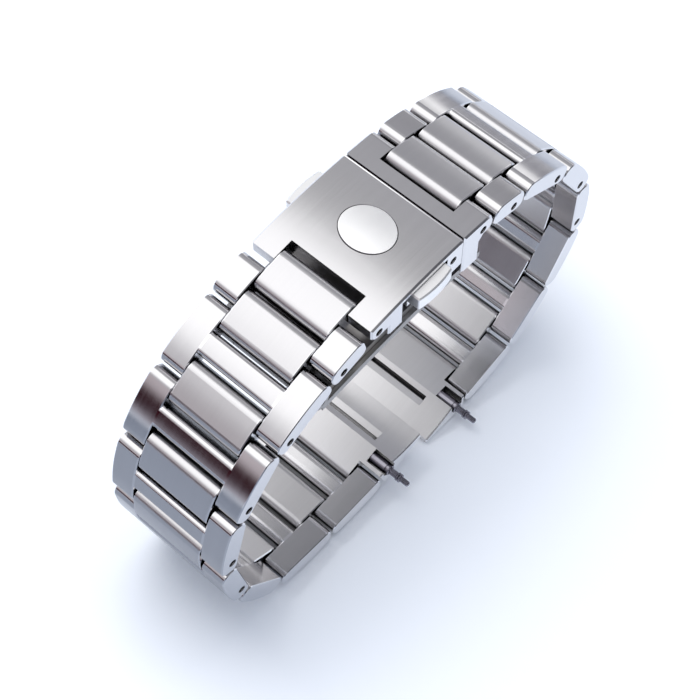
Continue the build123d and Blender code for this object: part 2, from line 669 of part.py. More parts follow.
PLATE = plate()
SHORT_LINK = short_link()
FREE_LINK = outer_link(True)
FIXED_LINK = outer_link(False)

tilt = Rot(0, -CLASP_TILT, 0)
parts = {
    "clasp_cover": tilt * cover(),
    "clasp_plaque": tilt * plaque(),
    "clasp_end_block": tilt * end_block(),
    "clasp_base_blade": tilt * base_blade(),
    "clasp_middle_blade": tilt * middle_blade(),
    "clasp_catch": tilt * catch(),
    "clasp_near_button": tilt * button(-1),
    "clasp_far_button": tilt * button(1),
    "clasp_button_springs": tilt * button_springs(),
    "clasp_cover_pins": tilt * cover_pins(),
    "clasp_base_pins": tilt * base_pins(),
}
joints = []
ends = [tilt * Pos(x, 0, -CLASP_PIN_DROP) for x in (LEFT_PIN, RIGHT_PIN)]
starts = [(e.position.X, e.position.Z) for e in ends]
band_side("left", starts[0], LEFT_TURNS, -1, LEFT_REMOVABLE, LEFT_PIN_RECESS)
band_side("right", starts[1], RIGHT_TURNS, 1, RIGHT_REMOVABLE, RIGHT_PIN_RECESS)
for label, x, z in (("fold", FOLD_X, FOLD_Z), ("cover", HINGE_X, -HINGE_DROP)):
    at = (tilt * Pos(x, 0, z)).position
    joints.append((label, 0, at.X, at.Z, 0))

# The footprint's middle goes to the origin
whole = Compound(list(parts.values())).bounding_box()
home = Pos(-whole.center().X, -whole.center().Y, -whole.min.Z)

os.makedirs("parts", exist_ok=True)
for name, shape in parts.items():
    export_step(home * shape, f"parts/{name}.step")
print("band's middle plane at Y", round(home.position.Y, 4))
for label, number, x, z, turn in joints:
    at = home * Pos(x, 0, z)
    print("axis", label, number, round(at.position.X, 4), round(at.position.Z, 4), turn)
print("size", whole.size)
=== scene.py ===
import json
import math

import bmesh
import bpy
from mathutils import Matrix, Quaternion, Vector

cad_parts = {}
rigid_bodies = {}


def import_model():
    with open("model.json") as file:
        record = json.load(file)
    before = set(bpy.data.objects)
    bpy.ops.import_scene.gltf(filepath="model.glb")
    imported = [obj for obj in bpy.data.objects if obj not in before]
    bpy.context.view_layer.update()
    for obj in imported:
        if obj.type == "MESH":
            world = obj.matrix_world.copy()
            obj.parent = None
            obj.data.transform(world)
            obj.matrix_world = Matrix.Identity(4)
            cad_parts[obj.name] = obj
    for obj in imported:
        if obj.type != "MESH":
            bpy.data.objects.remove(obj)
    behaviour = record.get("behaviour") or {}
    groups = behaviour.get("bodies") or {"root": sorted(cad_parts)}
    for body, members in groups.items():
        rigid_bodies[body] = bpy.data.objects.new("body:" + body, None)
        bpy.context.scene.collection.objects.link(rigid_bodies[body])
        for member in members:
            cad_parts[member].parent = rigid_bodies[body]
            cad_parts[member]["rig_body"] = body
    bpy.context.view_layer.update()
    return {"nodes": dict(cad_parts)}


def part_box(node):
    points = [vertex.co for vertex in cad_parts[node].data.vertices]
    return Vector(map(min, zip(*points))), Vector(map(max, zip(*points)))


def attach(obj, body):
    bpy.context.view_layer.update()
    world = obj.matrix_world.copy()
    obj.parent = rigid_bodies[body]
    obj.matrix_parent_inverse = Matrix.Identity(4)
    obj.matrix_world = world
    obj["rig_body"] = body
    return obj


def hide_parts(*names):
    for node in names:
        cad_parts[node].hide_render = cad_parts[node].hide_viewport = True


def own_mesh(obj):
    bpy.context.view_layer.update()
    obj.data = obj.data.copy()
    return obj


bl_info = {
    "name": "Link Watch Bracelet",
    "version": (1, 0, 0),
    "blender": (4, 5, 0),
    "location": "3D View > Sidebar > Bracelet",
    "description": "Finishes, pins, spring bars and studio for a steel link bracelet with a folding clasp",
    "category": "Add Mesh",
}

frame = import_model()

MM = 0.001

# The camera, fitted to the photograph, in millimetres from the band's middle plane, and degrees
PHOTO_SIDE = 700
CAMERA_FOCAL = 1700  # in pixels of the photograph
CAMERA_AT = (-94.07, -76.40, 224.73)
CAMERA_TARGET = (-2.01, 0.0, 24.11)
CAMERA_ROLL = 2.2
SENSOR_WIDTH = 36.0
CLIP_NEAR = 10.0
CLIP_FAR = 4000.0

# The band across: its middle plane and the lines where a piece's side edges lie, in millimetres
MIDDLE_Y = sum(corner.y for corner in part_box("left_plate_1")) / 2 / MM
PLATE_EDGE = 6.0
ARM_EDGE = 6.15
BAND_EDGE = 10.0

# Roughness, from the sharpest places of a finish to the dullest
PLATE_ROUGHNESS = (0.31, 0.34)
LINK_ROUGHNESS = (0.16, 0.19)
END_LINK_ROUGHNESS = (0.3, 0.33)
CLASP_ROUGHNESS = (0.22, 0.25)
PLAQUE_ROUGHNESS = (0.42, 0.5)
BUTTON_ROUGHNESS = (0.38, 0.46)
SHEET_ROUGHNESS = (0.3, 0.42)
PIN_ROUGHNESS = (0.14, 0.26)
BAR_ROUGHNESS = (0.12, 0.24)
WIRE_ROUGHNESS = (0.16, 0.3)

# Marks on smooth steel: grain in millimetres, how far it is drawn out along X, and its share
PLAQUE_MARKS = (0.12, 1, 0.2)
BUTTON_MARKS = (0.2, 40, 0.3)
SHEET_MARKS = (0.3, 25, 0.3)

# Brushed and polished faces; lengths in millimetres, the rest shares or roughness
SIDE_FACING = (0.35, 0.75)  # how far a face turns to Y, from brushed to polished
WORN_EDGE = (0.26, 0.13)  # reach of the wear beside an edge, from none to full
WORN_SHARE = 0.8
POLISHED_ROUGHNESS = (0.06, 0.14)
BRUSHED_TONES = (0.98, 1.015)
POLISHED_TONES = (0.95, 1.05)
BRUSH_LAYERS = ((1, 1, 2.0), (5, 1.6, 1.0))  # times the spacing, times the length, detail
BRUSH_DETAIL_SHARE = 0.6  # of each finer step of detail
BRUSH_SPREAD = (0.7, 1.3)  # of the two layers' sum
BRUSH_BUMP_SHARE = 0.04
BRUSH_BUMP = 0.002
BRUSH_STRETCH = 0.7  # of the reflections, across the lines
QUARTER_TURN = 0.25  # from the tangent round the Y axis to the brush lines
CLOUD_SIZE = 6.0  # of the slow changes in tone

# Smooth and turned faces; lengths in millimetres, the rest shares
SMOOTH_CLOUD_SIZE = 4.0
SMOOTH_TONES = (0.94, 1.05)
MARK_TURN = (0.2, 0.3, 0.5)  # radians, so the marks follow no axis exactly
MARK_SPREAD = (0.5, 0.75)
WEAR_SPREAD = (0.3, 0.9)
RING_SPACING = 0.12  # real ones are too fine to show, so these are drawn coarser
RING_LENGTH = 6.0
RING_SPREAD = (0.3, 0.7)
RING_BUMP_SHARE = 0.25
TURNED_CLOUD_SIZE = 2.0
TURNED_TONES = (0.85, 1.12)
SMOOTH_BUMP = 0.003

# Painted shade in the gaps, and the polished bevel along the seam, in millimetres
GAP_SHADE_COLOR = "#2b2a2c"
GAP_SHADE_REACH = 1.2  # how near another face must be
GAP_SHADE_OPEN = (0.2, 0.6)  # how open a place is, from full painted shade to none
GAP_SHADE_SAMPLES = 6
SEAM_BEVEL = 0.5  # with the gap of the seam
BEVEL_FACING = 0.5  # least share of a bevel's normal that points up
BEVEL_NORMAL = (0.39, 0.0, 0.92)  # where a rounded bevel faces, in the part's frame

# Split pins, in millimetres
PIN_SLIT = 0.14  # between the two leaves
PIN_HEAD = 1.6  # length of the closed end
PIN_DOME_SHARE = 0.35  # rounding of the ends, of the radius

# Spring bars, in millimetres
CRIMP_IN = 0.75  # groove that holds the tips in, from the tube's end
CRIMP_WIDTH = 0.35
CRIMP_DEPTH = 0.12
TUBE_WALL = 0.25
TUBE_EDGE = 0.1
POINT_RADIUS = 0.42
POINT_LENGTH = 1.4
POINT_EDGE = 0.15
COLLAR_LENGTH = 0.8
COLLAR_EDGE = 0.1
COLLAR_GROOVE_DEPTH = 0.13
SHAFT_RADIUS = 0.53
TIP_TRAVEL = 1.2

# Coil springs, in millimetres
BUTTON_SPRING_WIRE = 0.25
BUTTON_SPRING_TURNS = 6
BUTTON_SPRING_REACH = 1.1  # to the back of the button, past the coil's shortest length
BAR_SPRING_WIRE = 0.2
BAR_SPRING_TURNS = 14

SIDES = 40  # round a turned piece
WIRE_SIDES = 8
COIL_STEPS = 20  # in each turn
SMOOTH_ANGLE = 35  # degrees between faces that are shaded as one
WELD_REACH = 0.0005  # in millimetres, within which two points of a solid are one

# Floor: lengths in millimetres, the rest shares or strengths
FLOOR_HALF = 2000.0
PAPER_COLORS = ("#e9ebee", "#eef0f3")
PAPER_FIBER = 0.8  # real fibres are too fine to show, so these are drawn coarser
# Painted shade: the colour that the steel mirrors the floor with on the left
MIRRORED_SHADE_COLOR = "#9ca1aa"
MIRRORED_SHADE_REACH = (-20, -60)  # X where the painted shade of the mirrored floor starts, and where it is darkest
MIRRORED_SHADE_SHARE = 0.8
GLOW_COLOR = "#fbfcff"
GLOW_REACH = (45, 110)  # from the origin
GLOW_STRENGTH = (0.26, 0.8)
SHADE_REACH = 25  # how far the object shades the floor's glow
SHADE_SAMPLES = 8
# Painted glow: how much the floor lights the steel's reflections, towards the right
MIRRORED_REACH = (-50, 0)
MIRRORED_GLOW = 0.25
FAR_RIGHT_REACH = (28, 48)
FAR_RIGHT_SHARE = 0.3

# Room that the steel mirrors: colours by the direction's X on the ceiling, by its Z on the
# left wall. A narrow bright strip low on the right lights the bevel along the seam.
CEILING = ((-1.0, "#ffffff"), (0.23, "#ffffff"), (0.3, "#c6c6c7"), (0.36, "#a2a2a3"),
           (0.5, "#9d9da0"), (0.75, "#8f8f93"), (0.865, "#88888c"), (0.885, "#ffffff"),
           (0.9, "#ffffff"), (0.92, "#84848a"), (0.955, "#84848a"), (0.985, "#ffffff"))
WALL = ((0.0, "#bcc2cc"), (0.07, "#857e86"), (0.14, "#26030b"), (0.28, "#26030b"),
        (0.36, "#a39a9e"), (0.43, "#bdb6b9"), (0.5, "#9a9698"), (0.62, "#b5b3b6"),
        (0.73, "#e4e4e5"), (0.8, "#ffffff"))
WALL_FROM = (-0.05, -0.4)  # X where the ceiling turns into the wall
FRONT_COLOR = "#303137"
FRONT_FROM = (-0.5, -0.8)  # Y where the room turns dark in front
FRONT_SHARE = 0.85
MIRRORED_STRENGTH = 1.65
DIM_COLOR = "#d6e3fa"
DIM_STRENGTH = 0.62

# Lamp, in millimetres and watts
LAMP_SIDE = 450.0
LAMP_AT = (60.0, 200.0, 660.0)
LAMP_POWER = 3.2


def linear(hex_color):
    """An sRGB hex colour as linear red, green, blue and alpha."""
    shares = [int(hex_color[i:i + 2], 16) / 255 for i in (1, 3, 5)]
    return tuple(s / 12.92 if s <= 0.04045 else ((s + 0.055) / 1.055) ** 2.4 for s in shares) + (1.0,)


class BraceletFinish(bpy.types.PropertyGroup):
    satin_color: bpy.props.FloatVectorProperty(
        name="Satin steel", description="Brushed outer faces of the links and the clasp",
        subtype="COLOR", size=4, min=0, max=1, default=linear("#d0cfd1"))
    polished_color: bpy.props.FloatVectorProperty(
        name="Polished steel", description="Side faces, worn edges, pins and coil springs",
        subtype="COLOR", size=4, min=0, max=1, default=linear("#e6e6e9"))
    plaque_color: bpy.props.FloatVectorProperty(
        name="Plaque and buttons", description="The clasp's plaque and push buttons",
        subtype="COLOR", size=4, min=0, max=1, default=linear("#fbfbfc"))
    # Painted shade: the blades' colour is made darker, for they lie in shade inside the clasp
    sheet_and_shade_color: bpy.props.FloatVectorProperty(
        name="Pressed sheet", description="The two blades of the clasp",
        subtype="COLOR", size=4, min=0, max=1, default=linear("#a09e9d"))
    # Painted shade: the spring bars' colour is made much darker than the other steel, for the pockets they
    # sit in
    bar_and_shade_color: bpy.props.FloatVectorProperty(
        name="Spring bar steel", description="Spring bars, darker from hardening",
        subtype="COLOR", size=4, min=0, max=1, default=linear("#8f8d97"))
    brush_spacing: bpy.props.FloatProperty(
        name="Brush line spacing", description="Distance between the lines of the satin finish",
        unit="LENGTH", default=0.16 * MM, precision=5)
    brush_length: bpy.props.FloatProperty(
        name="Brush line length", description="Length of a line of the satin finish",
        unit="LENGTH", default=12 * MM, precision=4)


# Materials

def add(tree, kind, settings=None, links=None):
    """Adds a shader node with its own settings. Each input gets a value, another node's first
    output, or an output."""
    made = tree.nodes.new("ShaderNode" + kind)
    for name, value in (settings or {}).items():
        setattr(made, name, value)
    for name, value in (links or {}).items():
        if isinstance(value, bpy.types.Node):
            value = value.outputs[0]
        if isinstance(value, bpy.types.NodeSocket):
            tree.links.new(value, made.inputs[name])
        else:
            made.inputs[name].default_value = value
    return made


def new_material(name):
    """An empty material, its node tree and its output node."""
    material = bpy.data.materials.new(name)
    material.use_nodes = True
    material.node_tree.nodes.clear()
    return material, material.node_tree, add(material.node_tree, "OutputMaterial")


def shade(color, share):
    """A colour made darker, or lighter with a share above 1."""
    return tuple(min(1.0, c * share) for c in color[:3]) + (1.0,)


def satin_steel(name, finish, long_edges, roughness, bright_end=None):
    """316L stainless steel, brushed along the band with a fine belt and then polished on its
    sides: the brushed faces give soft reflections, drawn out across the lines, and the sides
    and the worn edges sharp ones. A belt's lines are about 0.05 mm apart, too fine for the
    photograph, so they are drawn about three times as coarse and very faint. The bevel
    past the X bright_end, in metres, is polished round, and shows as a bright line. Painted
    shade darkens the gaps, where other faces are near."""
    material, tree, output = new_material(name)
    place = add(tree, "TexCoord")
    position = place.outputs["Object"]
    across = add(tree, "SeparateXYZ", None, {0: position}).outputs["Y"]
    facing = add(tree, "SeparateXYZ", None, {0: place.outputs["Normal"]})
    sideways = add(tree, "Math", {"operation": "ABSOLUTE"}, {0: facing.outputs["Y"]})
    polished = add(tree, "MapRange", {"interpolation_type": "SMOOTHSTEP"},
                   {"Value": sideways, "From Min": SIDE_FACING[0], "From Max": SIDE_FACING[1]})
    from_middle = add(tree, "Math", {"operation": "SUBTRACT"}, {0: across, 1: MIDDLE_Y * MM})
    off_middle = add(tree, "Math", {"operation": "ABSOLUTE"}, {0: from_middle})
    for edge in long_edges:
        beside = add(tree, "Math", {"operation": "SUBTRACT"}, {0: off_middle, 1: edge * MM})
        nearness = add(tree, "Math", {"operation": "ABSOLUTE"}, {0: beside})
        worn = add(tree, "MapRange", {"interpolation_type": "SMOOTHSTEP"}, {
            "Value": nearness, "From Min": WORN_EDGE[0] * MM, "From Max": WORN_EDGE[1] * MM,
            "To Max": WORN_SHARE})
        polished = add(tree, "Math", {"operation": "MAXIMUM"}, {0: polished, 1: worn})
    if bright_end is not None:
        along = add(tree, "SeparateXYZ", None, {0: position})
        past = add(tree, "Math", {"operation": "GREATER_THAN"}, {0: along, 1: bright_end})
        upward = add(tree, "Math", {"operation": "GREATER_THAN"}, {
            0: facing.outputs["Z"], 1: BEVEL_FACING})
        bevel = add(tree, "Math", {"operation": "MULTIPLY"}, {0: past, 1: upward})
        polished = add(tree, "Math", {"operation": "MAXIMUM"}, {0: polished, 1: bevel})

    lines = []
    for spacing, length, detail in BRUSH_LAYERS:
        scale = (1 / (finish.brush_length * length), 1 / (finish.brush_spacing * spacing),
                 1 / (finish.brush_length * length))
        drawn = add(tree, "Mapping", None, {"Vector": position, "Scale": scale})
        lines.append(add(tree, "TexNoise", None, {
            "Vector": drawn, "Scale": 1.0, "Detail": detail,
            "Roughness": BRUSH_DETAIL_SHARE}))
    fine, broad = lines
    both = add(tree, "Math", {"operation": "ADD"}, {0: fine, 1: broad})
    streaks = add(tree, "MapRange", None, {
        "Value": both, "From Min": BRUSH_SPREAD[0], "From Max": BRUSH_SPREAD[1]})
    cloud = add(tree, "TexNoise", None, {
        "Vector": position, "Scale": 1 / (CLOUD_SIZE * MM), "Detail": 3.0})

    satin = add(tree, "Mix", {"data_type": "RGBA"}, {
        0: streaks, 6: shade(finish.satin_color, BRUSHED_TONES[0]),
        7: shade(finish.satin_color, BRUSHED_TONES[1])})
    smooth = add(tree, "Mix", {"data_type": "RGBA"}, {
        0: cloud, 6: shade(finish.polished_color, POLISHED_TONES[0]),
        7: shade(finish.polished_color, POLISHED_TONES[1])})
    color = add(tree, "Mix", {"data_type": "RGBA"}, {
        0: polished, 6: satin.outputs[2], 7: smooth.outputs[2]})
    brushed_rough = add(tree, "MapRange", None, {
        "Value": streaks, "To Min": roughness[0], "To Max": roughness[1]})
    polished_rough = add(tree, "MapRange", None, {
        "Value": cloud, "To Min": POLISHED_ROUGHNESS[0], "To Max": POLISHED_ROUGHNESS[1]})
    rough = add(tree, "Mix", {"data_type": "FLOAT"}, {
        0: polished, 2: brushed_rough, 3: polished_rough})
    # Painted shade: the colour turns dark in the gaps, where other faces are near
    nearby = add(tree, "AmbientOcclusion", {"samples": GAP_SHADE_SAMPLES}, {"Distance": GAP_SHADE_REACH * MM})
    unshaded = add(tree, "MapRange", {"interpolation_type": "SMOOTHSTEP"}, {
        "Value": nearby.outputs["AO"], "From Min": GAP_SHADE_OPEN[0], "From Max": GAP_SHADE_OPEN[1]})
    gap_shaded = add(tree, "Mix", {"data_type": "RGBA"}, {
        0: unshaded, 6: linear(GAP_SHADE_COLOR), 7: color.outputs[2]})
    depth = add(tree, "MapRange", None, {
        "Value": polished, "To Min": BRUSH_BUMP_SHARE, "To Max": 0.0})
    bump = add(tree, "Bump", None, {
        "Strength": depth, "Distance": BRUSH_BUMP * MM, "Height": fine})
    normal = bump.outputs[0]
    if bright_end is not None:
        rounded = add(tree, "VectorTransform", {
            "vector_type": "NORMAL", "convert_from": "OBJECT", "convert_to": "WORLD"},
            {"Vector": BEVEL_NORMAL})
        normal = add(tree, "Mix", {"data_type": "VECTOR"}, {
            0: bevel, 4: bump, 5: rounded}).outputs[1]
    tangent = add(tree, "Tangent", {"direction_type": "RADIAL", "axis": "Y"})
    shader = add(tree, "BsdfPrincipled", None, {
        "Base Color": gap_shaded.outputs[2], "Metallic": 1.0, "Roughness": rough, "Normal": normal,
        "Anisotropic": BRUSH_STRETCH, "Anisotropic Rotation": QUARTER_TURN, "Tangent": tangent})
    tree.links.new(shader.outputs[0], output.inputs["Surface"])
    return material


def smooth_steel(name, color, roughness, grain, stretch, mark_share):
    """Stainless steel without a brushing direction: polished on a felt wheel, pressed, or
    blasted. Its roughness runs between the two values given, in clouds and with marks of the
    grain's size in millimetres, drawn out along X by the stretch."""
    material, tree, output = new_material(name)
    position = add(tree, "TexCoord").outputs["Object"]
    cloud = add(tree, "TexNoise", None, {
        "Vector": position, "Scale": 1 / (SMOOTH_CLOUD_SIZE * MM), "Detail": 3.0})
    size = grain * MM
    drawn = add(tree, "Mapping", None, {
        "Vector": position, "Rotation": MARK_TURN,
        "Scale": (1 / (size * stretch), 1 / size, 1 / size)})
    marks = add(tree, "TexNoise", None, {"Vector": drawn, "Scale": 1.0, "Detail": 2.0})
    clear_marks = add(tree, "MapRange", None, {
        "Value": marks, "From Min": MARK_SPREAD[0], "From Max": MARK_SPREAD[1],
        "To Max": mark_share})
    wear = add(tree, "Math", {"operation": "ADD"}, {0: cloud, 1: clear_marks})
    rough = add(tree, "MapRange", None, {
        "Value": wear, "From Min": WEAR_SPREAD[0], "From Max": WEAR_SPREAD[1],
        "To Min": roughness[0], "To Max": roughness[1]})
    tone = add(tree, "Mix", {"data_type": "RGBA"}, {
        0: cloud, 6: shade(color, SMOOTH_TONES[0]), 7: shade(color, SMOOTH_TONES[1])})
    bump = add(tree, "Bump", None, {
        "Strength": mark_share, "Distance": SMOOTH_BUMP * MM, "Height": marks})
    shader = add(tree, "BsdfPrincipled", None, {
        "Base Color": tone.outputs[2], "Metallic": 1.0, "Roughness": rough, "Normal": bump})
    tree.links.new(shader.outputs[0], output.inputs["Surface"])
    return material


def turned_steel(name, color, roughness):
    """Drawn wire or rod turned on a lathe: fine rings round the axis, which lies along Y."""
    material, tree, output = new_material(name)
    position = add(tree, "TexCoord").outputs["Object"]
    scale = (1 / (RING_LENGTH * MM), 1 / (RING_SPACING * MM), 1 / (RING_LENGTH * MM))
    drawn = add(tree, "Mapping", None, {"Vector": position, "Scale": scale})
    rings = add(tree, "TexNoise", None, {"Vector": drawn, "Scale": 1.0, "Detail": 2.0})
    cloud = add(tree, "TexNoise", None, {
        "Vector": position, "Scale": 1 / (TURNED_CLOUD_SIZE * MM), "Detail": 2.0})
    rough = add(tree, "MapRange", None, {
        "Value": rings, "From Min": RING_SPREAD[0], "From Max": RING_SPREAD[1],
        "To Min": roughness[0], "To Max": roughness[1]})
    tone = add(tree, "Mix", {"data_type": "RGBA"}, {
        0: cloud, 6: shade(color, TURNED_TONES[0]), 7: shade(color, TURNED_TONES[1])})
    bump = add(tree, "Bump", None, {
        "Strength": RING_BUMP_SHARE, "Distance": SMOOTH_BUMP * MM, "Height": rings})
    shader = add(tree, "BsdfPrincipled", None, {
        "Base Color": tone.outputs[2], "Metallic": 1.0, "Roughness": rough, "Normal": bump})
    tree.links.new(shader.outputs[0], output.inputs["Surface"])
    return material


def dress(names, material):
    """Gives CAD nodes a material in place of the plain one they come with."""
    for name in names:
        piece = frame["nodes"][name]
        piece.data.materials.clear()
        piece.data.materials.append(material)


def band_nodes(*words):
    """The CAD nodes of both sides of the band whose name, after the side, starts with a word."""
    found = []
    for name in sorted(frame["nodes"]):
        side, rest = name.split("_", 1)
        if side in ("left", "right") and rest.startswith(words):
            found.append(name)
    if not found:
        raise RuntimeError(f"no part of the band is called {words}")
    return found


# Meshes

def solids(node):
    """The lowest and highest corner of each separate solid of a CAD node, in metres."""
    work = bmesh.new()
    work.from_mesh(frame["nodes"][node].data)
    bmesh.ops.remove_doubles(work, verts=work.verts, dist=WELD_REACH * MM)
    left, boxes = set(work.verts), []
    while left:
        todo, group = [left.pop()], []
        while todo:
            vertex = todo.pop()
            group.append(vertex.co.copy())
            for edge in vertex.link_edges:
                other = edge.other_vert(vertex)
                if other in left:
                    left.remove(other)
                    todo.append(other)
        boxes.append((Vector(min(c[i] for c in group) for i in range(3)),
                      Vector(max(c[i] for c in group) for i in range(3))))
    work.free()
    return sorted(boxes, key=lambda box: tuple(box[0]))


def skin(work, rows, hollow=False):
    """Faces over rows of points, all rows with the same count. The two ends are closed, or on
    a hollow piece the last row is joined to the first."""
    made = [[work.verts.new(point) for point in row] for row in rows]
    pairs = list(zip(made, made[1:]))
    if hollow:
        pairs.append((made[-1], made[0]))
    else:
        work.faces.new(made[0])
        work.faces.new(made[-1])
    count = len(made[0])
    for first, second in pairs:
        for i in range(count):
            j = (i + 1) % count
            work.faces.new((first[i], first[j], second[j], second[i]))


def turned(work, middle, outline, hollow=False):
    """A solid turned about the line along Y through middle. The outline is a row of
    (Y, radius), in millimetres."""
    rows = []
    for along, radius in outline:
        angles = [2 * math.pi * i / SIDES for i in range(SIDES)]
        rows.append([middle + Vector((radius * math.cos(a), along, radius * math.sin(a))) * MM
                     for a in angles])
    skin(work, rows, hollow)


def leaf(work, middle, outline, side):
    """One half of a split pin, above or below the slit."""
    half = SIDES // 2
    rows = []
    for along, radius in outline:
        angles = [math.pi * i / half for i in range(half + 1)]
        height = side * PIN_SLIT / 2
        rows.append([middle + Vector((radius * math.cos(a), along,
                                      height + side * (radius - PIN_SLIT / 2) * math.sin(a))) * MM
                     for a in angles])
    skin(work, rows)


def coil(work, middle, start, end, radius, wire, turns):
    """Wire wound about the line along Y through middle, from start to end, in millimetres."""
    steps = COIL_STEPS * turns
    rows = []
    for step in range(steps + 1):
        angle = 2 * math.pi * step / COIL_STEPS
        out = Vector((math.cos(angle), 0, math.sin(angle)))
        place = out * (radius - wire / 2) + Vector((0, start + (end - start) * step / steps, 0))
        row = []
        for i in range(WIRE_SIDES):
            turn = 2 * math.pi * i / WIRE_SIDES
            offset = out * math.cos(turn) + Vector((0, math.sin(turn), 0))
            row.append(middle + (place + offset * wire / 2) * MM)
        rows.append(row)
    skin(work, rows)


def new_piece(name, work, material, node):
    """A piece made of the work, which stands for a CAD node and rides on the node's body."""
    bmesh.ops.recalc_face_normals(work, faces=work.faces)
    mesh = bpy.data.meshes.new(name)
    work.to_mesh(mesh)
    work.free()
    mesh.shade_smooth()
    mesh.set_sharp_from_angle(angle=math.radians(SMOOTH_ANGLE))
    mesh.materials.append(material)
    piece = bpy.data.objects.new(name, mesh)
    bpy.context.scene.collection.objects.link(piece)
    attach(piece, frame["nodes"][node]["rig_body"])
    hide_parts(node)
    return piece


class BRACELET_OT_band(bpy.types.Operator):
    """Finishes the centre plates, outer links and end links"""
    bl_idname = "bracelet.band"
    bl_label = "Band"

    def execute(self, context):
        finish = context.scene.bracelet_finish
        plates = satin_steel("satin_steel_plate", finish, (PLATE_EDGE,), PLATE_ROUGHNESS)
        links = satin_steel("satin_steel_link", finish, (ARM_EDGE, BAND_EDGE), LINK_ROUGHNESS)
        ends = satin_steel("satin_steel_end_link", finish, (BAND_EDGE,), END_LINK_ROUGHNESS)
        dress(band_nodes("plate"), plates)
        outer = [n for n in band_nodes("link", "short_link") if not n.endswith("pins")]
        dress(outer, links)
        dress(band_nodes("end_link"), ends)
        return {"FINISHED"}


class BRACELET_OT_clasp(bpy.types.Operator):
    """Finishes the clasp's cover, end block, plaque, buttons, blades and catch"""
    bl_idname = "bracelet.clasp"
    bl_label = "Clasp"

    def execute(self, context):
        finish = context.scene.bracelet_finish
        bright_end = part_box("clasp_end_block")[0].x - SEAM_BEVEL * MM
        cover = satin_steel("satin_steel_cover", finish, (BAND_EDGE,), CLASP_ROUGHNESS, bright_end)
        block = satin_steel("satin_steel_end_block", finish, (BAND_EDGE,), CLASP_ROUGHNESS)
        dress(["clasp_cover"], cover)
        dress(["clasp_end_block"], block)
        # Blasted with fine beads: an even, matt and very pale surface
        plaque = smooth_steel("blasted_steel", finish.plaque_color, PLAQUE_ROUGHNESS, *PLAQUE_MARKS)
        dress(["clasp_plaque"], plaque)
        # Polished on a felt wheel and dulled by fingers since: very pale, with hairlines
        button = smooth_steel("dulled_polished_steel", finish.plaque_color, BUTTON_ROUGHNESS,
                              *BUTTON_MARKS)
        dress(["clasp_near_button", "clasp_far_button"], button)
        # Rolled sheet, tumbled after pressing: dull, with rolling marks along the band. Its colour is
        # darker than the sheet's own, as painted shade, for the blades lie in shade inside the clasp
        sheet = smooth_steel("pressed_steel_sheet", finish.sheet_and_shade_color, SHEET_ROUGHNESS, *SHEET_MARKS)
        dress(["clasp_base_blade", "clasp_middle_blade", "clasp_catch"], sheet)
        return {"FINISHED"}


class BRACELET_OT_pins(bpy.types.Operator):
    """Makes the split pins of the links and the clasp's pins"""
    bl_idname = "bracelet.pins"
    bl_label = "Pins"

    def execute(self, context):
        finish = context.scene.bracelet_finish
        steel = turned_steel("drawn_steel_pin", finish.polished_color, PIN_ROUGHNESS)
        split = [n for n in band_nodes("link") if n.endswith("pins")]
        for node in split + ["clasp_cover_pins", "clasp_base_pins"]:
            work = bmesh.new()
            for low, high in solids(node):
                self.pin(work, low, high, node in split)
            new_piece("turned_" + node, work, steel, node)
        return {"FINISHED"}

    def pin(self, work, low, high, is_split):
        """A pin with domed ends. A split one is a folded rod: two leaves, closed at the far end."""
        middle = (low + high) / 2
        radius = (high.x - low.x) / 2 / MM
        half = (high.y - low.y) / 2 / MM
        dome = radius * PIN_DOME_SHARE
        near = [(-half, radius - dome), (-half + dome / 3, radius - dome / 3), (-half + dome, radius)]
        far = [(-along, r) for along, r in reversed(near)]
        if not is_split:
            turned(work, middle, near + far)
            return
        for side in (-1, 1):
            leaf(work, middle, near + [(half - PIN_HEAD, radius)], side)
        turned(work, middle, [(half - PIN_HEAD, radius)] + far)


